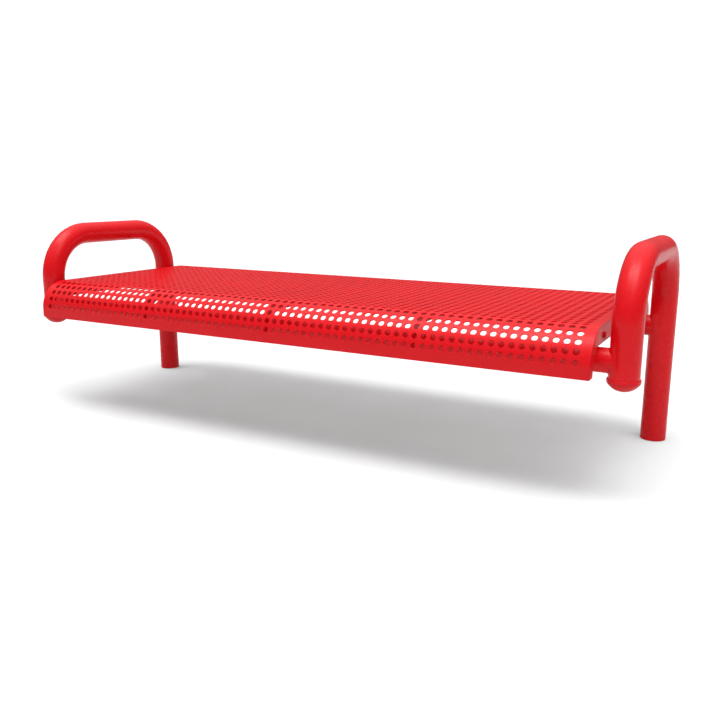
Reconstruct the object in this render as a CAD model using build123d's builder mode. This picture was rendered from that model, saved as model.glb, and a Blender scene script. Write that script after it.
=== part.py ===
"""Backless perforated bench with cantilever end frames.

Units are millimetres. X runs along the seat, -Y is the front, +Z is up.
The origin is on the ground, under the middle of the seat.
Sections across the seat are drawn on YZ planes, so their points are (y, z).
"""

import math
import os

from build123d import *

os.makedirs("parts", exist_ok=True)

# ---- driving dimensions ----------------------------------------------------

# perforation grid
pitch = 25.4
hole_d = 15.9
columns = 70
end_margin = 34.9  # last column to the end of the sheet
roll_rows = 5  # rows on each roll
cut_over = 3.0  # how far the hole cutters run past the sheet
roll_cut_under = 4.0  # the same, on the inside of the rolls

# seat sheet: flat top, a roll at front and rear, a short straight skirt
seat_top = 427.0
seat_depth = 762.0
sheet_t = 3.0
roll_r = 88.9
skirt = 25.4

# cross tubes under the seat
cross_od = 60.3
cross_wall = 3.0
cross_z = 343.1
cross_front_y = -279.5
cross_rear_y = 269.5

# bent end frames: short front stub, arm loop, long rear leg
frame_x = 968.5
frame_od = 73.0
frame_wall = 3.0
bend_r = 152.4
arm_z = 578.5
stub_end_z = 297.0

# domed cap on the front stub
cap_od = 79.0
cap_drop = 2.0  # lower edge of the rim below the end of the stub
cap_rim = 8.0
cap_lip_r = 1.0
cap_sphere_r = 45.7

# end plates: a band that follows the inside of the sheet
plate_t = 9.0
band_depth = 46.0  # from the seat top, at mid-seat
toe_w = 33.0
toe_r = 5.0  # also the toe radius of the ribs
toe_step_z = 348.0
toe_step_r = 6.0
relief_r = 33.6
relief_inset = 46.0  # outer face of the sheet to the start of the relief arc

# inner ribs: a shallower band of even depth
rib_t = 5.0
rib_pitch = 18 * pitch
rib_depth = 31.5

# mounting bars behind the end plates, on edge on the two cross tubes
bar_t = 6.0
bar_sink = 1.0  # lower edge below the top of the cross tubes
bar_overhang = 2.5  # bar ends beyond the cross tube axes
bar_top_z = 412.0
bar_corner_r = 6.0

# bolts and nuts that hold the end plates to the bars
bolt_dy = 26.2  # inwards from each cross tube axis
bolt_z = 397.9
bolt_d = 9.5
bolt_hole_d = 10.3
head_af = 14.3  # across flats, bolt head and nut
head_h = 6.1
nut_h = 8.3
bolt_tip = 3.0  # shank beyond the nut
bolt_chamfer = 0.8

# ---- derived ---------------------------------------------------------------

half_len = (columns - 1) * pitch / 2 + end_margin
half_depth = seat_depth / 2
inner_half = half_depth - sheet_t
inner_top = seat_top - sheet_t
flat_half = half_depth - roll_r
roll_z = seat_top - roll_r
inner_r = roll_r - sheet_t
skirt_z = roll_z - skirt
flat_rows = round(2 * flat_half / pitch) + 1
frame_r = frame_od / 2
cross_r = cross_od / 2
plate_in_x = half_len - plate_t
bar_in_x = plate_in_x - bar_t

ends = {"left": -1, "right": 1}  # sign of X
cross_ys = {"front": cross_front_y, "rear": cross_rear_y}
bolt_ys = {"front": cross_front_y + bolt_dy, "rear": cross_rear_y - bolt_dy}


def save(part, name, write_pcurves=True):
    part.label = name
    export_step(part, f"parts/{name}.step", write_pcurves=write_pcurves)


# ---- perforated seat sheet -------------------------------------------------


def seat_deck():
    with BuildPart() as deck:
        with BuildSketch(Plane.YZ):
            with BuildLine():
                Polyline(
                    (-half_depth, roll_z),
                    (-half_depth, skirt_z),
                    (-inner_half, skirt_z),
                    (-inner_half, roll_z),
                )
                CenterArc((-flat_half, roll_z), inner_r, 90, 90)
                Line((-flat_half, inner_top), (flat_half, inner_top))
                CenterArc((flat_half, roll_z), inner_r, 0, 90)
                Polyline(
                    (inner_half, roll_z),
                    (inner_half, skirt_z),
                    (half_depth, skirt_z),
                    (half_depth, roll_z),
                )
                CenterArc((flat_half, roll_z), roll_r, 0, 90)
                Line((flat_half, seat_top), (-flat_half, seat_top))
                CenterArc((-flat_half, roll_z), roll_r, 90, 90)
            make_face()
        extrude(amount=half_len, both=True)

        # straight rows of holes in the flat top
        with BuildSketch(Plane.XY.offset(inner_top - cut_over)):
            with GridLocations(pitch, pitch, columns, flat_rows):
                Circle(hole_d / 2)
        extrude(amount=sheet_t + 2 * cut_over, mode=Mode.SUBTRACT)

        # rows on each roll, one pitch apart along the arc and square to the surface
        for side in (-1, 1):
            for row in range(1, roll_rows + 1):
                turn = row * pitch / roll_r
                out = Vector(0, side * math.sin(turn), math.cos(turn))
                start = Vector(0, side * flat_half, roll_z) + out * (inner_r - roll_cut_under)
                with BuildSketch(Plane(origin=start, x_dir=(1, 0, 0), z_dir=out)):
                    with GridLocations(pitch, pitch, columns, 1):
                        Circle(hole_d / 2)
                extrude(amount=roll_cut_under + sheet_t + cut_over, mode=Mode.SUBTRACT)
    return deck.part


# the many holes make a large file, so the surface-space curves are left out
save(seat_deck(), "seat_deck", write_pcurves=False)


# ---- end plates ------------------------------------------------------------


def plate_sketch(plane):
    """Band under the sheet, with an arc over each cross tube and a toe at each end."""
    toe = -half_depth + toe_w
    relief_y = -half_depth + relief_inset
    with BuildSketch(plane) as band:
        # front half, then mirrored to the rear
        with BuildLine():
            Polyline((-inner_half, roll_z), (-inner_half, skirt_z), (toe - toe_r, skirt_z))
            RadiusArc((toe - toe_r, skirt_z), (toe, skirt_z + toe_r), -toe_r)
            Line((toe, skirt_z + toe_r), (toe, toe_step_z - toe_step_r))
            RadiusArc((toe, toe_step_z - toe_step_r), (toe + toe_step_r, toe_step_z), toe_step_r)
            Line((toe + toe_step_r, toe_step_z), (relief_y, toe_step_z))
            relief = CenterArc((relief_y + relief_r, toe_step_z), relief_r, 180, -90)
            Line(relief @ 1, (0, seat_top - band_depth))
            Line((0, seat_top - band_depth), (0, inner_top))
            Line((0, inner_top), (-flat_half, inner_top))
            CenterArc((-flat_half, roll_z), inner_r, 90, 90)
        make_face()
        mirror(about=Plane.YZ)
    return band.sketch


def end_plate(start_x):
    with BuildPart() as plate:
        extrude(plate_sketch(Plane.YZ.offset(start_x)), amount=plate_t)
        with BuildSketch(Plane.YZ.offset(start_x - 1)):
            with Locations(*[(y, bolt_z) for y in bolt_ys.values()]):
                Circle(bolt_hole_d / 2)
        extrude(amount=plate_t + 2, mode=Mode.SUBTRACT)
    return plate.part


for end_name, end in ends.items():
    save(end_plate(min(end * half_len, end * plate_in_x)), f"end_plate_{end_name}")


# ---- inner ribs ------------------------------------------------------------


def rib_sketch(plane):
    """Band of even depth under the sheet, down both rolls and skirts."""
    low = seat_top - rib_depth
    toe = -half_depth + rib_depth
    with BuildSketch(plane) as band:
        # front half, then mirrored to the rear
        with BuildLine():
            Polyline((-inner_half, roll_z), (-inner_half, skirt_z), (toe - toe_r, skirt_z))
            RadiusArc((toe - toe_r, skirt_z), (toe, skirt_z + toe_r), -toe_r)
            Line((toe, skirt_z + toe_r), (toe, roll_z))
            roll = CenterArc((-flat_half, roll_z), roll_r - rib_depth, 180, -90)
            Line(roll @ 1, (0, low))
            Line((0, low), (0, inner_top))
            Line((0, inner_top), (-flat_half, inner_top))
            CenterArc((-flat_half, roll_z), inner_r, 90, 90)
        make_face()
        mirror(about=Plane.YZ)
    return band.sketch


def rib(middle_x):
    with BuildPart() as band:
        extrude(rib_sketch(Plane.YZ.offset(middle_x - rib_t / 2)), amount=rib_t)
    return band.part


for rib_name, rib_x in {"left": -rib_pitch, "middle": 0, "right": rib_pitch}.items():
    save(rib(rib_x), f"rib_{rib_name}")


# ---- cross tubes, coped to the end frames ----------------------------------


def cross_tube(y):
    with BuildPart() as tube:
        with BuildSketch(Plane.YZ):
            with Locations((y, cross_z)):
                Circle(cross_r)
                Circle(cross_r - cross_wall, mode=Mode.SUBTRACT)
        extrude(amount=frame_x, both=True)
        with Locations((-frame_x, y, cross_z), (frame_x, y, cross_z)):
            Cylinder(frame_r, 4 * cross_r, mode=Mode.SUBTRACT)
    return tube.part


for place, cross_y in cross_ys.items():
    save(cross_tube(cross_y), f"{place}_cross_tube")


# ---- bent end frames -------------------------------------------------------


def frame_path(x):
    """Centre line from the stub end, up, back along the arm and down to the ground."""
    bend_z = arm_z - bend_r
    front_bend_y = cross_front_y + bend_r
    rear_bend_y = cross_rear_y - bend_r
    with BuildLine(Plane.YZ.offset(x)) as path:
        Line((cross_front_y, stub_end_z), (cross_front_y, bend_z))
        CenterArc((front_bend_y, bend_z), bend_r, 180, -90)
        Line((front_bend_y, arm_z), (rear_bend_y, arm_z))
        CenterArc((rear_bend_y, bend_z), bend_r, 90, -90)
        Line((cross_rear_y, bend_z), (cross_rear_y, 0))
    return path.line


def end_frame(x):
    stub_end = Plane(origin=(x, cross_front_y, stub_end_z), x_dir=(1, 0, 0), z_dir=(0, 0, 1))
    with BuildPart() as frame:
        with BuildSketch(stub_end):
            Circle(frame_r)
            Circle(frame_r - frame_wall, mode=Mode.SUBTRACT)
        sweep(path=frame_path(x))
    return frame.part


for end_name, end in ends.items():
    save(end_frame(end * frame_x), f"end_frame_{end_name}")


# ---- domed caps ------------------------------------------------------------


def cap_half_profile(plane):
    """Half section of the cap: rim around the tube, floor under its end, shallow dome."""
    rim_r = cap_od / 2
    rim_low = stub_end_z - cap_drop
    rim_top = rim_low + cap_rim
    sink = math.sqrt(cap_sphere_r**2 - rim_r**2)
    centre_z = rim_low + sink
    start = math.degrees(math.atan2(-sink, rim_r))
    with BuildSketch(plane) as half:
        with BuildLine():
            Line((0, centre_z - cap_sphere_r), (0, stub_end_z))
            Line((0, stub_end_z), (frame_r, stub_end_z))
            Line((frame_r, stub_end_z), (frame_r, rim_top))
            Line((frame_r, rim_top), (rim_r - cap_lip_r, rim_top))
            RadiusArc((rim_r - cap_lip_r, rim_top), (rim_r, rim_top - cap_lip_r), cap_lip_r)
            Line((rim_r, rim_top - cap_lip_r), (rim_r, rim_low))
            CenterArc((0, centre_z), cap_sphere_r, start, -90 - start)
        make_face()
    return half.sketch


def end_cap(x):
    foot = (x, cross_front_y, 0)
    with BuildPart() as cap:
        revolve(
            cap_half_profile(Plane(origin=foot, x_dir=(1, 0, 0), z_dir=(0, -1, 0))),
            axis=Axis(foot, (0, 0, 1)),
        )
    return cap.part


for end_name, end in ends.items():
    save(end_cap(end * frame_x), f"end_cap_{end_name}")


# ---- mounting bars on the cross tubes --------------------------------------


def bar_sketch(plane):
    """Flat bar on edge, its lower edge coped over each cross tube, with a hole near each."""
    low = cross_z + cross_r - bar_sink
    front_y = cross_front_y - bar_overhang
    rear_y = cross_rear_y + bar_overhang
    with BuildSketch(plane) as bar_face:
        with Locations(((front_y + rear_y) / 2, (low + bar_top_z) / 2)):
            Rectangle(rear_y - front_y, bar_top_z - low)
        top_corners = [v for v in bar_face.vertices() if v.Y > bar_top_z - 1]
        fillet(top_corners, radius=bar_corner_r)
        with Locations(*[(y, cross_z) for y in cross_ys.values()]):
            Circle(cross_r, mode=Mode.SUBTRACT)
        with Locations(*[(y, bolt_z) for y in bolt_ys.values()]):
            Circle(bolt_hole_d / 2, mode=Mode.SUBTRACT)
    return bar_face.sketch


def mount_bar(start_x):
    with BuildPart() as bar:
        extrude(bar_sketch(Plane.YZ.offset(start_x)), amount=bar_t)
    return bar.part


for end_name, end in ends.items():
    save(mount_bar(min(end * plate_in_x, end * bar_in_x)), f"mount_bar_{end_name}")


# ---- bolts and nuts --------------------------------------------------------


def bolt_plane(x, y, facing):
    """Plane across a bolt axis, facing +X or -X."""
    return Plane(origin=(x, y, bolt_z), x_dir=(0, 1, 0), z_dir=(facing, 0, 0))


def bolt(end, y):
    """Hex head on the outer face of the end plate, shank inwards through plate, bar and nut."""
    with BuildPart() as body:
        with BuildSketch(bolt_plane(end * half_len, y, end)):
            RegularPolygon(head_af / 2, 6, major_radius=False)
        extrude(amount=head_h)
        with BuildSketch(bolt_plane(end * half_len, y, -end)):
            Circle(bolt_d / 2)
        extrude(amount=plate_t + bar_t + nut_h + bolt_tip)
        tip = body.faces().sort_by(Axis.X)[0 if end > 0 else -1]
        chamfer(tip.edges(), length=bolt_chamfer)
    return body.part


def nut(end, y):
    """Hex nut on the inner face of the mounting bar."""
    with BuildPart() as body:
        with BuildSketch(bolt_plane(end * bar_in_x, y, -end)):
            RegularPolygon(head_af / 2, 6, major_radius=False)
            Circle(bolt_d / 2, mode=Mode.SUBTRACT)
        extrude(amount=nut_h)
    return body.part


for place, bolt_y in bolt_ys.items():
    for end_name, end in ends.items():
        save(bolt(end, bolt_y), f"bolt_{place}_{end_name}")
        save(nut(end, bolt_y), f"nut_{place}_{end_name}")
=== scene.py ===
"""Backless bench: a perforated sheet seat with rolled long edges, carried by two bent end tubes.

Metres, X along the seat, -Y is the front, +Z up, origin on the ground under the seat's middle.
The CAD frame gives the main measures, and each piece built here stands for one of its pieces.
"""

import math

import bmesh
import bpy
import numpy as np
from mathutils import Matrix, Vector


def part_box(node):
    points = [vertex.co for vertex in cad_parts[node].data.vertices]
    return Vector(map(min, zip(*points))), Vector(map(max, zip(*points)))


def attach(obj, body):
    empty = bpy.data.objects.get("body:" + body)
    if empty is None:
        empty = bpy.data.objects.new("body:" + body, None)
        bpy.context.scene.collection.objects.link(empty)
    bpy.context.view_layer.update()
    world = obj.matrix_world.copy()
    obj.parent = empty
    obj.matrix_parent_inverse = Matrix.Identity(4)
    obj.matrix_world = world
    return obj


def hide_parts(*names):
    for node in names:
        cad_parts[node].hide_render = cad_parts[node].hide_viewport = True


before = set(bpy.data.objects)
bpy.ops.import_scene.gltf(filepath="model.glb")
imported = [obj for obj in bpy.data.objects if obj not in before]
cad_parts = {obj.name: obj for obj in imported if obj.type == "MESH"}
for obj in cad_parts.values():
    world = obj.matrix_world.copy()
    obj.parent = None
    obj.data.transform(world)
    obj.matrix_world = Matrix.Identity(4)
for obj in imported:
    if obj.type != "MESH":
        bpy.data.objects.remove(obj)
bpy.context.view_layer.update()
scene = bpy.context.scene

# ---- measures read off the frame ---------------------------------------------

_, deck_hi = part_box("seat_deck")
skirt_lo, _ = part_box("seat_deck")
front_lo, front_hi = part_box("front_cross_tube")
rear_lo, rear_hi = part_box("rear_cross_tube")
loop_lo, loop_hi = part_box("end_frame_right")
cap_lo, cap_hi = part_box("end_cap_right")
plate_lo, plate_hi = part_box("end_plate_right")
bar_lo, bar_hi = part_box("mount_bar_right")
bolt_lo, bolt_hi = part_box("bolt_front_right")

HALF_LEN = deck_hi.x
HALF_DEPTH = deck_hi.y
SEAT_TOP = deck_hi.z
SKIRT_Z = skirt_lo.z

CROSS_R = (front_hi.z - front_lo.z) / 2
CROSS_Z = (front_hi.z + front_lo.z) / 2
FRONT_Y = (front_hi.y + front_lo.y) / 2
REAR_Y = (rear_hi.y + rear_lo.y) / 2

FRAME_R = (loop_hi.x - loop_lo.x) / 2
FRAME_X = (loop_hi.x + loop_lo.x) / 2
ARM_Z = loop_hi.z - FRAME_R

CAP_R = (cap_hi.x - cap_lo.x) / 2
CAP_TOP = cap_hi.z
CAP_LOW = cap_lo.z

PLATE_T = plate_hi.x - plate_lo.x
BAR_T = bar_hi.x - bar_lo.x
BOLT_Z = (bolt_hi.z + bolt_lo.z) / 2
BOLT_DY = (bolt_hi.y + bolt_lo.y) / 2 - FRONT_Y  # bolt from its cross tube, towards the middle
HEAD_H = bolt_hi.x - HALF_LEN

# ---- fixed measures ------------------------------------------------------------

PITCH = 0.0254  # between hole centres, both ways
HOLE_R = 0.0159 / 2
HOLE_STEPS = 24
HOLE_ROUND = 0.00055  # rounding of the hole's upper rim
COLUMNS = 70
SHEET_T = 0.003
SHEET_ROUND = 0.0005  # rounding of the sheet's outer edge
ROLL_R = 0.0889  # outer radius of the rolled long edges
TUBE_WALL = 0.003
TUBE_STEPS = 96
RIB_DEPTH = 0.0315
BEND_R = 0.1524  # centreline of the end frames' bends
STUB_END = CAP_TOP - 0.006  # lower end of the front leg stub, inside its cap
HEX_FLATS = 0.0143  # across flats of bolt heads and nuts
BOLT_R = 0.0095 / 2
NUT_H = 0.0083

FLAT_HALF = HALF_DEPTH - ROLL_R
ROLL_Z = SEAT_TOP - ROLL_R
ROLL_ARC = ROLL_R * math.pi / 2
SKIRT = ROLL_Z - SKIRT_Z
FLAT_ROWS = round(2 * FLAT_HALF / PITCH) + 1
ROLL_ROWS = 5

SIDES = (("left", -1.0), ("right", 1.0))


# ---- object and mesh helpers -----------------------------------------------------


def link_object(name, data):
    obj = bpy.data.objects.new(name, data)
    scene.collection.objects.link(obj)
    return obj


def add_piece(name, mesh, material, stands_for=None):
    """Adds a piece of the bench, in place of the frame piece it stands for."""
    obj = link_object(name, mesh)
    mesh.materials.append(material)
    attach(obj, "root")
    if stands_for:
        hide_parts(stands_for)


def mesh_from(name, verts, faces, smooth=True):
    mesh = bpy.data.meshes.new(name)
    mesh.from_pydata(verts, [], faces)
    mesh.polygons.foreach_set("use_smooth", [smooth] * len(mesh.polygons))
    mesh.update()
    return mesh


def quad_mesh(name, verts, quads, corner_normals):
    """A mesh of quads from arrays, with a normal for each corner."""
    mesh = bpy.data.meshes.new(name)
    mesh.vertices.add(len(verts))
    mesh.vertices.foreach_set("co", verts.astype(np.float32).ravel())
    mesh.loops.add(quads.size)
    mesh.loops.foreach_set("vertex_index", quads.astype(np.int32).ravel())
    mesh.polygons.add(len(quads))
    mesh.polygons.foreach_set("loop_start", np.arange(0, quads.size, 4, dtype=np.int32))
    mesh.polygons.foreach_set("use_smooth", np.ones(len(quads), dtype=bool))
    mesh.update(calc_edges=True)
    mesh.validate()
    mesh.normals_split_custom_set(corner_normals.reshape(-1, 3).astype(np.float64).tolist())
    return mesh


def ring_quads(rings, around):
    """Quads that join each ring to the next, and the last back to the first."""
    here = np.arange(rings * around).reshape(rings, around)
    above = np.roll(here, -1, axis=0)
    beside = np.roll(here, -1, axis=1)
    return np.stack([here, beside, np.roll(above, -1, axis=1), above], -1).reshape(-1, 4)


def turn_steps(count):
    """Angles of a full turn in equal steps."""
    return np.arange(count) * 2 * math.pi / count


def lathe(name, profile, steps):
    """Turns a profile about Z. It runs from the lower pole to the upper one.

    profile: (radius, z, normal's radial part, normal's z part). Only its two ends are poles.
    """
    verts, rings = [], []
    for radius, z, _, _ in profile:
        count = 1 if radius < 1e-9 else steps
        rings.append(range(len(verts), len(verts) + count))
        for i in range(count):
            angle = 2 * math.pi * i / steps
            verts.append((radius * math.cos(angle), radius * math.sin(angle), z))

    faces, normals = [], []
    for k in range(len(rings) - 1):
        for i in range(steps):
            corners = [(k, i), (k, i + 1), (k + 1, i + 1), (k + 1, i)]
            if len(rings[k]) == 1:
                corners = [(k, i), (k + 1, i + 1), (k + 1, i)]
            elif len(rings[k + 1]) == 1:
                corners.pop(2)
            faces.append([rings[ring][step % len(rings[ring])] for ring, step in corners])
            for ring, step in corners:
                _, _, radial, axial = profile[ring]
                angle = 2 * math.pi * step / steps
                normal = Vector((radial * math.cos(angle), radial * math.sin(angle), axial))
                normals.append(normal.normalized()[:])
    mesh = mesh_from(name, verts, faces)
    mesh.normals_split_custom_set(normals)
    return mesh


# ---- shader helpers ------------------------------------------------------------------


def add_node(tree, kind, inputs=None, **settings):
    """Adds a node. inputs gives each socket a value, or the output that feeds it."""
    node = tree.nodes.new(kind)
    for key, value in settings.items():
        setattr(node, key, value)
    for socket, value in (inputs or {}).items():
        if isinstance(value, bpy.types.NodeSocket):
            tree.links.new(value, node.inputs[socket])
        else:
            node.inputs[socket].default_value = value
    return node


def maths(tree, operation, *values):
    node = add_node(tree, "ShaderNodeMath", dict(enumerate(values)), operation=operation)
    return node.outputs["Value"]


def noise(tree, place, scale, detail, roughness=0.5):
    inputs = {"Vector": place, "Scale": scale, "Detail": detail, "Roughness": roughness}
    return add_node(tree, "ShaderNodeTexNoise", inputs).outputs["Fac"]


def remap(tree, value, span, to):
    """Maps a span of values onto another."""
    inputs = {
        "Value": value,
        "From Min": span[0],
        "From Max": span[1],
        "To Min": to[0],
        "To Max": to[1],
    }
    return add_node(tree, "ShaderNodeMapRange", inputs).outputs["Result"]


def blend(tree, kind, factor, first, second):
    inputs = {"Factor": factor, "A": first, "B": second}
    node = add_node(tree, "ShaderNodeMix", inputs, data_type="RGBA", blend_type=kind)
    return node.outputs["Result"]


def grey(tree, value):
    channels = dict.fromkeys(("Red", "Green", "Blue"), value)
    return add_node(tree, "ShaderNodeCombineColor", channels).outputs["Color"]


# ---- red powder coats -------------------------------------------------------------------

RED = (0.74, 0.0045, 0.0100)
COAT_IOR = 1.31
FLOOR_BOUNCE = 0.28  # grey that floor light finds in place of the red
FLOOR_RAY_Z = 0.0004  # rays that start below this come from the floor


def coat_tone(tree, place, red):
    """Slow drift of tone over a few decimetres, a faint mottle on it, and powder dots."""
    slow = noise(tree, place, scale=3.1, detail=2.0)
    mottle = noise(tree, place, scale=38.0, detail=4.0, roughness=0.6)
    fine = noise(tree, place, scale=900.0, detail=2.0)
    share = maths(
        tree,
        "ADD",
        remap(tree, slow, span=(0.3, 0.7), to=(0.0, 0.62)),
        remap(tree, mottle, span=(0.3, 0.7), to=(0.0, 0.38)),
    )
    deep = (*[channel * 0.95 for channel in red], 1.0)
    clear = (min(red[0] * 1.035, 1.0), red[1] * 1.10, red[2] * 1.04, 1.0)
    tone = blend(tree, "MIX", share, deep, clear)
    dots = remap(tree, fine, span=(0.30, 0.62), to=(0.972, 1.0))
    return blend(tree, "MULTIPLY", 1.0, tone, grey(tree, dots))


def neutral_to_floor(tree, tone):
    """Swaps the tone for grey on diffuse rays from the floor, so the pale floor stays pale."""
    ray = add_node(tree, "ShaderNodeLightPath")
    here = add_node(tree, "ShaderNodeNewGeometry")
    reach = add_node(
        tree,
        "ShaderNodeVectorMath",
        {0: here.outputs["Incoming"], "Scale": ray.outputs["Ray Length"]},
        operation="SCALE",
    )
    origin = add_node(
        tree,
        "ShaderNodeVectorMath",
        {0: here.outputs["Position"], 1: reach.outputs["Vector"]},
        operation="ADD",
    )
    parts = add_node(tree, "ShaderNodeSeparateXYZ", {"Vector": origin.outputs["Vector"]})
    low = maths(tree, "LESS_THAN", parts.outputs["Z"], FLOOR_RAY_Z)
    from_floor = maths(tree, "MULTIPLY", low, ray.outputs["Is Diffuse Ray"])
    return blend(tree, "MIX", from_floor, tone, (FLOOR_BOUNCE, FLOOR_BOUNCE, FLOOR_BOUNCE, 1.0))


def coat_bump(tree, place, grain_scale, peel):
    """Orange peel a couple of millimetres across, with finer powder grain on it."""
    skin = noise(tree, place, scale=grain_scale, detail=2.0, roughness=0.45)
    grain = noise(tree, place, scale=grain_scale * 4.6, detail=1.0)
    grain_share = 0.22
    height = maths(tree, "MULTIPLY_ADD", grain, grain_share, skin)
    inputs = {"Strength": 1.0, "Distance": 0.000012 * peel, "Height": height}
    return add_node(tree, "ShaderNodeBump", inputs).outputs["Normal"]


def coat(name, shade=1.0, rough=0.30, peel=1.0, grain_scale=420.0, shift=0.0):
    """Baked powder coat. shade scales the red, peel the bump, and shift moves the textures."""
    material = bpy.data.materials.new(name)
    material.use_nodes = True
    tree = material.node_tree
    tree.nodes.clear()
    where = add_node(tree, "ShaderNodeTexCoord")
    mapping = add_node(
        tree,
        "ShaderNodeMapping",
        {"Vector": where.outputs["Object"], "Location": (shift, shift * 0.7, -shift)},
    )
    place = mapping.outputs["Vector"]
    tone = coat_tone(tree, place, [channel * shade for channel in RED])
    # uneven cure leaves patches a little duller than others
    sheen = noise(tree, place, scale=14.0, detail=3.0, roughness=0.55)
    surface = {
        "Base Color": neutral_to_floor(tree, tone),
        "Roughness": remap(tree, sheen, span=(0.28, 0.72), to=(rough * 0.90, rough * 1.12)),
        "IOR": COAT_IOR,
        "Normal": coat_bump(tree, place, grain_scale, peel),
    }
    bsdf = add_node(tree, "ShaderNodeBsdfPrincipled", surface)
    add_node(tree, "ShaderNodeOutputMaterial", {"Surface": bsdf.outputs["BSDF"]})
    return material


seat_coat = coat("seat_coat", rough=0.32, peel=0.9)
plate_coat = coat("plate_coat", shade=0.98, rough=0.34, peel=1.1, shift=3.7)
tube_coat = coat("tube_coat", rough=0.27, shift=9.1)
cap_coat = coat("cap_coat", shade=0.985, peel=1.1, shift=5.3)
weld_coat = coat("weld_coat", shade=0.96, rough=0.36, peel=1.6, grain_scale=700.0, shift=1.9)
fastener_coat = coat("fastener_coat", shade=0.95, rough=0.33, grain_scale=900.0, shift=7.7)


# ---- perforated sheet ----------------------------------------------------------------------
# Laid out flat in x and s, the arc length across the outer skin from the seat's middle.


def on_sheet(s):
    """Outer skin at s: y, z and the y and z of its normal, as arrays."""
    side = np.where(s < 0, -1.0, 1.0)
    distance = np.abs(s)
    turn = np.clip((distance - FLAT_HALF) / ROLL_R, 0, math.pi / 2)
    down_skirt = np.clip(distance - FLAT_HALF - ROLL_ARC, 0, None)
    y = side * (np.minimum(distance, FLAT_HALF) + ROLL_R * np.sin(turn))
    z = ROLL_Z + ROLL_R * np.cos(turn) - down_skirt
    return y, z, side * np.sin(turn), np.cos(turn)


def sheet_points(x, s, depth):
    y, z, normal_y, normal_z = on_sheet(s)
    return np.stack([x, y - depth * normal_y, z - depth * normal_z], -1)


def sheet_normals(s):
    _, _, normal_y, normal_z = on_sheet(s)
    return np.stack([np.zeros_like(normal_y), normal_y, normal_z], -1)


def sheet_directions(along_x, along_s, s):
    """Directions within the sheet, from their parts along x and along s."""
    _, _, normal_y, normal_z = on_sheet(s)
    parts = np.broadcast_arrays(along_x, along_s * normal_z, -along_s * normal_y)
    return np.stack(parts, -1)


def centred(count):
    return (np.arange(count) - (count - 1) / 2) * PITCH


def following(ring):
    """The same ring of (vertex numbers, normals), one step further round."""
    ids, normals = ring
    return np.roll(ids, -1, axis=-1), np.roll(normals, -1, axis=-2)


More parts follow.
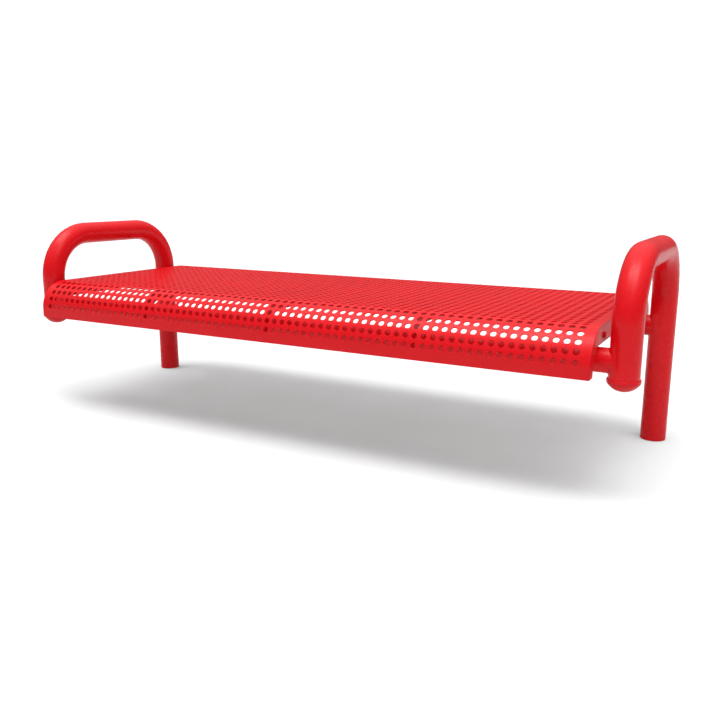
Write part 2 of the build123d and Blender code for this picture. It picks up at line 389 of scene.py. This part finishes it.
def perforated_sheet():
    angles = turn_steps(HOLE_STEPS)
    cos, sin = np.cos(angles), np.sin(angles)
    grids = np.meshgrid(centred(COLUMNS), centred(FLAT_ROWS + 2 * ROLL_ROWS))
    hole_x, hole_s = [grid.reshape(-1, 1) for grid in grids]

    # square cell round each hole
    reach = (PITCH / 2) / np.maximum(np.abs(cos), np.abs(sin))
    cell_x = hole_x + reach * cos
    cell_s = hole_s + reach * sin

    # lines of the margin panels, met by the points on the sides of the outermost cells
    line_x = np.unique(np.round(cell_x[np.abs(cell_s - cell_s.min()) < 1e-7], 7))
    line_s = np.unique(np.round(cell_s[np.abs(cell_x - cell_x.min()) < 1e-7], 7))
    end_x = HALF_LEN - SHEET_ROUND
    end_s = FLAT_HALF + ROLL_ARC + SKIRT - SHEET_ROUND
    mid_x = (end_x + line_x[-1]) / 2
    mid_s = (end_s + line_s[-1]) / 2
    line_x = [-end_x, -mid_x, *line_x, mid_x, end_x]
    line_s = [-end_s, -mid_s, *line_s, mid_s, end_s]

    known, flat_points = {}, []

    def vertex_at(x, s):
        """Number of the flat point here, shared by all that meet at it."""
        key = (round(x * 1e6), round(s * 1e6))
        if key not in known:
            known[key] = len(flat_points)
            flat_points.append((x, s))
        return known[key]

    cells = np.array(
        [[vertex_at(x, s) for x, s in zip(xs, ss)] for xs, ss in zip(cell_x, cell_s)]
    )
    panels = []
    for i in range(len(line_x) - 1):
        for j in range(len(line_s) - 1):
            if 2 <= i < len(line_x) - 3 and 2 <= j < len(line_s) - 3:
                continue  # the holes' cells fill this part
            corners = ((i, j), (i + 1, j), (i + 1, j + 1), (i, j + 1))
            panels.append([vertex_at(line_x[a], line_s[b]) for a, b in corners])
    panels = np.array(panels)

    border = [(x, -end_s) for x in line_x[:-1]]
    border += [(end_x, s) for s in line_s[:-1]]
    border += [(x, end_s) for x in line_x[:0:-1]]
    border += [(-end_x, s) for s in line_s[:0:-1]]
    border_ids = np.array([vertex_at(x, s) for x, s in border])

    flat_x, flat_s = np.array(flat_points).T
    skin = sheet_normals(flat_s)

    # rings of each hole, from the upper rim down to the underside
    def hole_ring(radius, depth):
        s = hole_s + radius * sin
        return sheet_points(hole_x + radius * cos, s, depth), s

    part_round = HOLE_ROUND * 0.293  # middle of the rounded rim
    rim, rim_s = hole_ring(HOLE_R + HOLE_ROUND, 0.0)
    curve, _ = hole_ring(HOLE_R + part_round, part_round)
    bore, bore_s = hole_ring(HOLE_R, HOLE_ROUND)
    foot, _ = hole_ring(HOLE_R, SHEET_T)
    rim_n = sheet_normals(rim_s)
    bore_n = sheet_directions(-cos, -sin, bore_s)
    curve_n = rim_n + bore_n
    curve_n /= np.linalg.norm(curve_n, axis=-1, keepdims=True)

    # rounded cut edge of the sheet
    border_x, border_s = np.array(border).T
    out_x = np.where(np.abs(np.abs(border_x) - end_x) < 1e-9, np.sign(border_x), 0.0)
    out_s = np.where(np.abs(np.abs(border_s) - end_s) < 1e-9, np.sign(border_s), 0.0)
    size = np.sqrt(out_x**2 + out_s**2)
    edge_n = sheet_directions(out_x / size, out_s / size, border_s)
    edge_x = border_x + out_x * SHEET_ROUND
    edge_s = border_s + out_s * SHEET_ROUND

    layers = [
        sheet_points(flat_x, flat_s, 0.0),
        sheet_points(flat_x, flat_s, SHEET_T),
        *[ring.reshape(-1, 3) for ring in (rim, curve, bore, foot)],
        sheet_points(edge_x, edge_s, SHEET_ROUND),
        sheet_points(edge_x, edge_s, SHEET_T - SHEET_ROUND),
    ]
    starts = np.cumsum([0, *[len(layer) for layer in layers[:-1]]])
    _, under_at, rim_at, curve_at, bore_at, foot_at, upper_at, lower_at = starts

    quads, normals = [], []

    def add_quads(*corners):
        quads.append(np.stack([ids for ids, _ in corners], -1).reshape(-1, 4))
        normals.append(np.stack([normal for _, normal in corners], -2).reshape(-1, 4, 3))

    ids = np.arange(cells.size).reshape(cells.shape)
    for inner, outer in (
        ((ids + rim_at, rim_n), (cells, skin[cells])),
        ((ids + curve_at, curve_n), (ids + rim_at, rim_n)),
        ((ids + bore_at, bore_n), (ids + curve_at, curve_n)),
        ((ids + foot_at, bore_n), (ids + bore_at, bore_n)),
        ((cells + under_at, -skin[cells]), (ids + foot_at, -rim_n)),
    ):
        add_quads(inner, outer, following(outer), following(inner))

    quads.append(panels)
    normals.append(skin[panels])
    quads.append(panels[:, ::-1] + under_at)
    normals.append(-skin[panels[:, ::-1]])

    ids = np.arange(len(border))
    border_n = skin[border_ids]
    top_ring = (border_ids, border_n)
    upper_ring = (ids + upper_at, edge_n)
    lower_ring = (ids + lower_at, edge_n)
    under_ring = (border_ids + under_at, -border_n)
    for low, high in (
        (upper_ring, top_ring),
        (lower_ring, upper_ring),
        (under_ring, lower_ring),
    ):
        add_quads(low, following(low), following(high), high)

    verts = np.concatenate(layers)
    return quad_mesh("perforated_sheet", verts, np.concatenate(quads), np.concatenate(normals))


add_piece("perforated_sheet", perforated_sheet(), seat_coat, "seat_deck")


# ---- end plates and ribs ----------------------------------------------------------------------
# Outlines are lists of (y, z).


def arc(centre_y, centre_z, radius, start, end, steps):
    """Points of an arc. Angles in degrees, from +Y towards +Z."""
    points = []
    for i in range(steps + 1):
        angle = math.radians(start + (end - start) * i / steps)
        y = centre_y + radius * math.cos(angle)
        points.append((y, centre_z + radius * math.sin(angle)))
    return points


def under_sheet_outline(toe, inner_edge):
    """Band that fits inside the sheet.

    toe is the Y of the front foot's inner side, and inner_edge runs from there to the middle.
    """
    edge = -HALF_DEPTH + SHEET_T
    toe_r = 0.005
    half = [(edge, ROLL_Z), (edge, SKIRT_Z)]
    half += arc(toe - toe_r, SKIRT_Z + toe_r, toe_r, -90, 0, 6)
    half += inner_edge
    roll = arc(-FLAT_HALF, ROLL_Z, ROLL_R - SHEET_T, 90, 180, 36)
    points = half + [(-y, z) for y, z in reversed(half)]
    points += [(-y, z) for y, z in reversed(roll)][1:] + roll[:-1]
    outline = []
    for point in points:
        if not outline or math.dist(point, outline[-1]) > 1e-6:
            outline.append(point)
    return outline


def band_outline():
    """End plate: a step inwards above each foot, then a quarter round up to the deep middle."""
    toe = -HALF_DEPTH + 0.033
    step_z = 0.348
    step_r = 0.006
    relief_y = -HALF_DEPTH + 0.046
    relief_r = 0.0336
    inner_edge = arc(toe + step_r, step_z - step_r, step_r, 180, 90, 6)
    inner_edge += arc(relief_y + relief_r, step_z, relief_r, 180, 90, 20)
    return under_sheet_outline(toe, inner_edge)


def rib_outline():
    """Even depth under the sheet: flat, round the rolls and down the skirts."""
    inner_edge = arc(-FLAT_HALF, ROLL_Z, ROLL_R - RIB_DEPTH, 180, 90, 36)
    return under_sheet_outline(-HALF_DEPTH + RIB_DEPTH, inner_edge)


def slab(name, outline, x0, x1, bevel=0.0007):
    """A plate with its faces square to X, its edges rounded over, and true normals."""
    points = np.array(outline, float)
    ahead = np.roll(points, -1, axis=0)
    if (points[:, 0] * ahead[:, 1] - ahead[:, 0] * points[:, 1]).sum() < 0:
        points = points[::-1].copy()
        ahead = np.roll(points, -1, axis=0)
    count = len(points)
    along = ahead - points
    along /= np.linalg.norm(along, axis=1)[:, None]
    # outward normals of the edges that leave and reach each point
    after = np.stack([along[:, 1], -along[:, 0]], -1)
    before = np.roll(after, 1, axis=0)
    cosine = (after * before).sum(1)
    miter = (after + before) / (1 + cosine)[:, None]
    # gentle corners are shaded smooth
    soft = (cosine > math.cos(math.radians(32)))[:, None]
    mean = after + before
    mean /= np.linalg.norm(mean, axis=1)[:, None]
    leave = np.where(soft, mean, after)
    arrive = np.where(soft, mean, before)

    part = bevel * (1 - math.sqrt(0.5))
    rings = [  # x, inset, share of the face normal
        (x0, bevel, -1.0),
        (x0 + part, part, -0.5),
        (x0 + bevel, 0.0, 0.0),
        (x1 - bevel, 0.0, 0.0),
        (x1 - part, part, 0.5),
        (x1, bevel, 1.0),
    ]
    verts = []
    for x, inset, _ in rings:
        verts += [(x, y, z) for y, z in points - miter * inset]

    def normal(share, side):
        if abs(share) == 1.0:
            return (share, 0.0, 0.0)
        if share == 0.0:
            return (0.0, side[0], side[1])
        return Vector((math.copysign(1.0, share), side[0], side[1])).normalized()[:]

    faces, normals = [], []
    for k in range(len(rings) - 1):
        low, high = k * count, (k + 1) * count
        low_share, high_share = rings[k][2], rings[k + 1][2]
        for i in range(count):
            j = (i + 1) % count
            faces.append((low + i, low + j, high + j, high + i))
            normals += [normal(low_share, leave[i]), normal(low_share, arrive[j])]
            normals += [normal(high_share, arrive[j]), normal(high_share, leave[i])]
    last = (len(rings) - 1) * count
    faces.append(tuple(range(last, last + count)))
    normals += [(1.0, 0.0, 0.0)] * count
    faces.append(tuple(reversed(range(count))))
    normals += [(-1.0, 0.0, 0.0)] * count
    mesh = mesh_from(name, verts, faces)
    mesh.normals_split_custom_set(normals)
    return mesh


for side, end in SIDES:
    name = "end_band_" + side
    x0, x1 = sorted((end * HALF_LEN, end * (HALF_LEN - PLATE_T)))
    mesh = slab(name, band_outline(), x0, x1)
    add_piece(name, mesh, plate_coat, "end_plate_" + side)

for node in ("rib_left", "rib_middle", "rib_right"):
    lo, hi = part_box(node)
    mesh = slab("inner_" + node, rib_outline(), lo.x, hi.x)
    add_piece("inner_" + node, mesh, plate_coat, node)


# ---- end frames: one bent tube each --------------------------------------------------------------


def frame_bend(centre_y, start):
    """Quarter bend at the top of a frame, clockwise seen from +X, from start in degrees."""
    points = []
    for i in range(49):
        angle = math.radians(start - 90 * i / 48)
        cos, sin = math.cos(angle), math.sin(angle)
        y = centre_y + BEND_R * cos
        points.append((y, ARM_Z - BEND_R + BEND_R * sin, sin, -cos))
    return points


def frame_path():
    """Centreline from the front stub over the arm to the rear foot: (y, z, direction y, z)."""
    bend_z = ARM_Z - BEND_R
    front_y, rear_y = FRONT_Y + BEND_R, REAR_Y - BEND_R
    path = [(FRONT_Y, STUB_END + (bend_z - STUB_END) * i / 6, 0.0, 1.0) for i in range(6)]
    path += frame_bend(front_y, 180)
    path += [(front_y + (rear_y - front_y) * i / 10, ARM_Z, 1.0, 0.0) for i in range(1, 10)]
    path += frame_bend(rear_y, 90)
    path += [(REAR_Y, bend_z * (1 - i / 12), 0.0, -1.0) for i in range(1, 13)]
    return path


def bent_tube(name, x):
    edge = 0.0006
    outer, inner = FRAME_R, FRAME_R - TUBE_WALL
    path = frame_path()
    first, last = path[0], path[-1]
    # point on the path, shift along it, radius, normal's radial share, normal's share along
    rings = [(first, 0.0, outer - edge, 0.0, -1.0), (first, edge, outer, 1.0, 0.0)]
    rings += [(point, 0.0, outer, 1.0, 0.0) for point in path[1:-1]]
    rings += [(last, -edge, outer, 1.0, 0.0), (last, 0.0, outer - edge, 0.0, 1.0)]
    rings += [(last, 0.0, inner + edge, 0.0, 1.0), (last, -edge, inner, -1.0, 0.0)]
    rings += [(point, 0.0, inner, -1.0, 0.0) for point in reversed(path[1:-1])]
    rings += [(first, edge, inner, -1.0, 0.0), (first, 0.0, inner + edge, 0.0, -1.0)]

    angles = turn_steps(TUBE_STEPS)
    verts, normals = [], []
    for (y, z, along_y, along_z), shift, radius, radial_share, along_share in rings:
        radial = np.stack([np.cos(angles), np.sin(angles) * -along_z, np.sin(angles) * along_y], -1)
        along = np.array([0.0, along_y, along_z])
        centre = np.array([x, y + along_y * shift, z + along_z * shift])
        verts.append(centre + radius * radial)
        normals.append(radial_share * radial + along_share * along)
    quads = ring_quads(len(rings), TUBE_STEPS)[:, [0, 3, 2, 1]]
    return quad_mesh(name, np.concatenate(verts), quads, np.concatenate(normals)[quads])


for side, end in SIDES:
    name = "bent_frame_" + side
    mesh = bent_tube(name, end * FRAME_X)
    add_piece(name, mesh, tube_coat, "end_frame_" + side)


# ---- cross tubes, coped to the frames, with their weld beads ----------------------------------------


def saddle(offset, frame_r=FRAME_R):
    """X where a line along X, offset in Y from the frame tube's axis, meets its skin."""
    return FRAME_X - np.sqrt(np.maximum(frame_r**2 - offset**2, 0))


def cross_tube(name, centre_y):
    steps = 24
    angles = turn_steps(TUBE_STEPS)
    cos, sin = np.cos(angles), np.sin(angles)
    verts, normals = [], []
    # outer skin towards +X, then the bore back again
    for radius, sign in ((CROSS_R, 1.0), (CROSS_R - TUBE_WALL, -1.0)):
        end = saddle(radius * cos)
        for i in range(steps + 1):
            x = end * ((-1 + 2 * i / steps) * sign)
            verts.append(np.stack([x, centre_y + radius * cos, CROSS_Z + radius * sin], -1))
            normals.append(np.stack([np.zeros(TUBE_STEPS), sign * cos, sign * sin], -1))
    rings = 2 * (steps + 1)
    quads = ring_quads(rings, TUBE_STEPS)
    corners = np.concatenate(normals)[quads].reshape(rings, TUBE_STEPS, 4, 3)
    # cut ends of the wall
    corners[steps] = (1.0, 0.0, 0.0)
    corners[rings - 1] = (-1.0, 0.0, 0.0)
    return quad_mesh(name, np.concatenate(verts), quads, corners)


def weld_ring(name, centre_y, end):
    """Fillet bead round a cross tube's saddle, with the ripple of a hand-run weld."""
    steps, across = 240, 9
    leg = 0.0026 * 0.96
    sink = 0.0002  # toes lie this far under both skins
    angles = turn_steps(steps)
    cos, sin = np.cos(angles), np.sin(angles)
    ripple = 0.00016 * np.sin(angles * 58) + 0.00010 * np.sin(angles * 7 + 1.3)
    verts = []

    def add_ring(radius, x):
        verts.append(np.stack([end * x, centre_y + radius * cos, CROSS_Z + radius * sin], -1))

    # from the toe on the cross tube to the toe on the frame tube
    for j in range(across):
        share = j / (across - 1)
        angle = share * math.pi / 2
        away = leg * (1 - math.sin(angle))
        out = leg * (1 - math.cos(angle))
        swell = (ripple + 0.0005) * math.sin(math.pi * share) * 0.7
        radius = CROSS_R + out + swell - sink
        add_ring(radius, saddle(radius * cos, FRAME_R - sink) - away - swell)
    # the hidden root of the bead, just inside both tubes
    root = CROSS_R - 0.0010
    add_ring(root, saddle(root * cos, FRAME_R - 0.0012))

    quads = ring_quads(across + 1, steps)
    if end < 0:
        quads = quads[:, ::-1]
    return mesh_from(name, np.concatenate(verts).tolist(), quads.tolist())


for row, centre_y in (("front", FRONT_Y), ("rear", REAR_Y)):
    name = "cross_tube_" + row
    mesh = cross_tube(name, centre_y)
    add_piece(name, mesh, tube_coat, row + "_cross_tube")
    for side, end in SIDES:
        weld = f"weld_{name}_{side}"
        add_piece(weld, weld_ring(weld, centre_y, end), weld_coat)


# ---- domed caps on the front stubs --------------------------------------------------------------------


def cap_mesh(name, x):
    """Pressed cap: shallow dome below, rolled rim, skirt up the tube."""
    rim_low = CAP_TOP - 0.008
    depth = rim_low - CAP_LOW
    dome_r = (CAP_R**2 + depth**2) / (2 * depth)
    rise = math.sqrt(dome_r**2 - CAP_R**2)
    centre_z = rim_low + rise
    # the dome stops a little short of the rim, in degrees, and a knuckle leads on
    dome_end = math.degrees(math.atan2(-rise, CAP_R)) - 1.6
    dome_steps, knuckle_steps, lip_steps = 40, 8, 6
    knuckle = 0.0016
    lip = 0.0010
    inner_r = FRAME_R + 0.00002
    nick = 0.0002  # small steps at the skirt's inner corners

    profile = [(0.0, centre_z - dome_r, 0.0, -1.0)]
    for i in range(1, dome_steps + 1):
        angle = math.radians(-90 + (dome_end + 90) * i / dome_steps)
        cos, sin = math.cos(angle), math.sin(angle)
        profile.append((dome_r * cos, centre_z + dome_r * sin, cos, sin))
    start_r, start_z = profile[-1][:2]
    for i in range(1, knuckle_steps + 1):
        share = i / knuckle_steps
        angle = math.radians(dome_end) * (1 - share)
        turn = share * math.pi / 2
        radius = start_r + (CAP_R - start_r) * math.sin(turn)
        z = start_z + (rim_low + knuckle - start_z) * (1 - math.cos(turn))
        profile.append((radius, z, math.cos(angle), math.sin(angle)))
    profile.append((CAP_R, CAP_TOP - lip, 1.0, 0.0))
    for i in range(1, lip_steps + 1):
        angle = math.radians(90 * i / lip_steps)
        cos, sin = math.cos(angle), math.sin(angle)
        profile.append((CAP_R - lip + lip * cos, CAP_TOP - lip + lip * sin, cos, sin))
    profile += [
        (inner_r, CAP_TOP, 0.0, 1.0),
        (inner_r, CAP_TOP - nick, -1.0, 0.0),
        (inner_r, STUB_END + nick, -1.0, 0.0),
        (FRAME_R - nick, STUB_END, 0.0, 1.0),
        (0.0, STUB_END, 0.0, 1.0),
    ]
    mesh = lathe(name, profile, TUBE_STEPS)
    mesh.transform(Matrix.Translation((x, FRONT_Y, 0.0)))
    return mesh


for side, end in SIDES:
    name = "stub_cap_" + side
    add_piece(name, cap_mesh(name, end * FRAME_X), cap_coat, "end_cap_" + side)


# ---- mounting bars ---------------------------------------------------------------------------------------


def bar_outline():
    """Flat bar on edge, seated a little way over each cross tube, its top corners rounded."""
    corner_r = 0.006
    seat_r = CROSS_R - 0.0003
    over = math.degrees(math.asin((bar_lo.z - CROSS_Z) / seat_r))
    front = math.degrees(math.acos((bar_lo.y - FRONT_Y) / seat_r))
    rear = math.degrees(math.acos((bar_hi.y - REAR_Y) / seat_r))
    top = bar_hi.z - corner_r
    points = arc(FRONT_Y, CROSS_Z, seat_r, front, over, 8)
    points += arc(REAR_Y, CROSS_Z, seat_r, 180 - over, rear, 8)
    points += arc(bar_hi.y - corner_r, top, corner_r, 0, 90, 8)
    points += arc(bar_lo.y + corner_r, top, corner_r, 90, 180, 8)
    return points


for side, _ in SIDES:
    lo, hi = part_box("mount_bar_" + side)
    name = "flat_bar_" + side
    mesh = slab(name, bar_outline(), lo.x, hi.x, bevel=0.0005)
    add_piece(name, mesh, plate_coat, "mount_bar_" + side)


# ---- bolts and nuts -----------------------------------------------------------------------------------------


def add_ring(bm, radii, heights):
    ring = []
    for i, (radius, z) in enumerate(zip(radii, heights)):
        angle = 2 * math.pi * i / len(radii)
        ring.append(bm.verts.new((radius * math.cos(angle), radius * math.sin(angle), z)))
    return ring


def bridge(bm, lower, upper, downward=False):
    """Quads between two rings, wound for rings that follow upwards or downwards."""
    for i in range(len(lower)):
        j = (i + 1) % len(lower)
        if downward:
            bm.faces.new((lower[i], upper[i], upper[j], lower[j]))
        else:
            bm.faces.new((lower[i], lower[j], upper[j], upper[i]))


def smooth_mesh(name, bm, sharp_degrees):
    """Turns a bmesh into a smooth mesh with its sharper edges kept."""
    mesh = bpy.data.meshes.new(name)
    bm.to_mesh(mesh)
    bm.free()
    for polygon in mesh.polygons:
        polygon.use_smooth = True
    mesh.set_sharp_from_angle(angle=math.radians(sharp_degrees))
    return mesh


def hex_solid(name, height, bore=0.0):
    """Hexagon from z = 0 up, on a thin round washer face, its top corners cut to a cone."""
    steps = 72
    face_r = HEX_FLATS / 2 * 0.96
    washer = 0.0004
    cone = math.tan(math.radians(30))
    hexagon = []
    for i in range(steps):
        angle = 2 * math.pi * i / steps
        from_flat = (angle + math.pi / 6) % (math.pi / 3) - math.pi / 6
        hexagon.append(HEX_FLATS / 2 / math.cos(from_flat))
    shoulder = [height - max(0.0, radius - face_r) * cone - 0.0002 for radius in hexagon]

    def level(value):
        return [value] * steps

    rings = [  # radii, heights
        (level(face_r), level(0.0)),
        (level(face_r), level(washer)),
        ([radius - 0.00015 for radius in hexagon], level(washer)),
        (hexagon, level(0.0006)),
        (hexagon, shoulder),
        (level(face_r), level(height)),
    ]
    if bore:
        chamfer = 0.0004
        rings.insert(0, (level(bore), level(0.0)))
        rings.append((level(bore + chamfer), level(height)))
        rings.append((level(bore), level(height - chamfer)))
    bm = bmesh.new()
    rings = [add_ring(bm, radii, heights) for radii, heights in rings]
    for lower, upper in zip(rings, rings[1:]):
        bridge(bm, lower, upper)
    if bore:
        bridge(bm, rings[-1], rings[0])
    else:
        bm.faces.new(list(reversed(rings[0])))
        bm.faces.new(rings[-1])
    bmesh.ops.recalc_face_normals(bm, faces=bm.faces[:])
    return smooth_mesh(name, bm, sharp_degrees=25)


def bolt_mesh(name):
    """Head upwards from z = 0, with the shank and its helical thread below."""
    head = hex_solid(name + "_head", HEAD_H)
    bm = bmesh.new()
    bm.from_mesh(head)
    bpy.data.meshes.remove(head)

    steps = 48
    length = (bolt_hi.x - bolt_lo.x) - HEAD_H
    plain = PLATE_T + BAR_T - 0.002  # shank before the thread
    thread_depth = 0.0006
    lead = 0.0016
    per_turn = 8
    run_in = 0.002
    tip_inset = 0.0011

    def radius_at(down, i):
        if down <= plain:
            return BOLT_R
        angle = 2 * math.pi * i / steps
        phase = (down / lead + angle / (2 * math.pi)) % 1.0
        wave = thread_depth * (0.5 + 0.5 * math.cos(2 * math.pi * phase))
        return BOLT_R - wave * min(1.0, (down - plain) / run_in)

    stations = [0.0, plain]
    while stations[-1] < length - 0.0006:
        stations.append(stations[-1] + lead / per_turn)
    rings = [
        add_ring(bm, [radius_at(down, i) for i in range(steps)], [-down] * steps)
        for down in stations
    ]
    rings.append(add_ring(bm, [BOLT_R - tip_inset] * steps, [-length] * steps))
    for upper, lower in zip(rings, rings[1:]):
        bridge(bm, upper, lower, downward=True)
    bm.faces.new(rings[0])
    bm.faces.new(list(reversed(rings[-1])))
    return smooth_mesh(name, bm, sharp_degrees=35)


def add_fastener(name, mesh, x, y, facing, stands_for):
    """Lays a fastener along X, its +Z turned to +X or -X by facing."""
    turn = Matrix.Rotation(math.radians(90) * facing, 4, "Y")
    turn = turn @ Matrix.Rotation(math.radians(90), 4, "Z")
    mesh.transform(Matrix.Translation((x, y, BOLT_Z)) @ turn)
    add_piece(name, mesh, fastener_coat, stands_for)


for row, y in (("front", FRONT_Y + BOLT_DY), ("rear", REAR_Y - BOLT_DY)):
    for side, end in SIDES:
        corner = f"{row}_{side}"
        name = "hex_bolt_" + corner
        add_fastener(name, bolt_mesh(name), end * HALF_LEN, y, end, "bolt_" + corner)
        name = "hex_nut_" + corner
        mesh = hex_solid(name, NUT_H, bore=BOLT_R)
        nut_x = end * (HALF_LEN - PLATE_T - BAR_T)
        add_fastener(name, mesh, nut_x, y, -end, "nut_" + corner)


# ---- floor -----------------------------------------------------------------------------------------------------

# the pale floor sends a little less light up at the bench than it shows the camera
FLOOR_SEEN, FLOOR_LIT = 0.86, 0.63
FLOOR_HALF = 60
FLOOR_Z = -0.0006


def pale_floor():
    material = bpy.data.materials.new("pale_floor")
    material.use_nodes = True
    tree = material.node_tree
    ray = add_node(tree, "ShaderNodeLightPath")
    seen = ray.outputs["Is Camera Ray"]
    tone = remap(tree, seen, span=(0.0, 1.0), to=(FLOOR_LIT, FLOOR_SEEN))
    shade = tree.nodes["Principled BSDF"]
    tree.links.new(grey(tree, tone), shade.inputs["Base Color"])
    shade.inputs["Roughness"].default_value = 0.9
    shade.inputs["Specular IOR Level"].default_value = 0.0
    return material


floor_corners = [
    (x * FLOOR_HALF, y * FLOOR_HALF, 0) for x, y in ((-1, -1), (1, -1), (1, 1), (-1, 1))
]
floor_mesh = mesh_from("floor", floor_corners, [(0, 1, 2, 3)], smooth=False)
floor = link_object("floor", floor_mesh)
floor.location.z = FLOOR_Z
floor_mesh.materials.append(pale_floor())


# ---- world: white to the camera, brighter overhead than at the horizon for the rest ----------------------------

SKY_TOP, SKY_EDGE = 1.60, 0.14
SKY_SEEN = 1.6
SKY_FALLOFF = 2.0  # power of the upward part of the direction
WHITE = (1, 1, 1, 1)


def studio_world():
    world = bpy.data.worlds.new("studio")
    world.use_nodes = True
    tree = world.node_tree
    tree.nodes.clear()
    coords = add_node(tree, "ShaderNodeTexCoord")
    split = add_node(tree, "ShaderNodeSeparateXYZ", {"Vector": coords.outputs["Generated"]})
    up = maths(tree, "MAXIMUM", split.outputs["Z"], 0.0)
    height = maths(tree, "POWER", up, SKY_FALLOFF)
    sky = maths(tree, "MULTIPLY_ADD", height, SKY_TOP - SKY_EDGE, SKY_EDGE)
    lit = add_node(tree, "ShaderNodeBackground", {"Color": WHITE, "Strength": sky})
    seen = add_node(tree, "ShaderNodeBackground", {"Color": WHITE, "Strength": SKY_SEEN})
    ray = add_node(tree, "ShaderNodeLightPath")
    mix = add_node(
        tree,
        "ShaderNodeMixShader",
        {
            "Fac": ray.outputs["Is Camera Ray"],
            1: lit.outputs["Background"],
            2: seen.outputs["Background"],
        },
    )
    add_node(tree, "ShaderNodeOutputWorld", {"Surface": mix.outputs["Shader"]})
    return world


scene.world = studio_world()


# ---- lights and camera ---------------------------------------------------------------------------------------------


def add_area_light(name, place, target, size, power):
    """Square soft light at place, aimed at target."""
    data = bpy.data.lights.new(name, "AREA")
    data.shape = "RECTANGLE"
    data.size = data.size_y = size
    data.energy = power
    light = link_object(name, data)
    light.location = place
    aim = Vector(target) - Vector(place)
    light.rotation_euler = aim.to_track_quat("-Z", "Y").to_euler()


def add_overhead(name, lean, strength):
    """Broad sun from above, leaned sideways by lean degrees."""
    data = bpy.data.lights.new(name, "SUN")
    data.energy = strength
    data.angle = math.radians(30)
    light = link_object(name, data)
    light.location = (0, -0.9, 5)
    light.rotation_euler = (math.radians(10), math.radians(-lean), 0)


def add_camera():
    data = bpy.data.cameras.new("camera")
    data.sensor_width = 36.0
    data.lens = 38.635
    data.shift_x = -0.00069444
    data.shift_y = 0.00069444
    data.clip_end = 200
    camera = link_object("camera", data)
    down_tilt = 12.691  # degrees below level
    heading = 0.511646  # radians, from +Y towards -X
    camera.location = (1.289926, -2.110021, 0.742145)
    camera.rotation_euler = (math.radians(90 - down_tilt), 0.0, heading)
    scene.camera = camera


add_area_light("key", place=(1.6, -1.6, 3.6), target=(0.1, 0.0, 0.2), size=2.2, power=26)
add_overhead("overhead_left", lean=16, strength=0.88)
add_overhead("overhead_right", lean=-12, strength=0.86)
add_camera()

scene.view_settings.view_transform = "Standard"
scene.view_settings.look = "None"
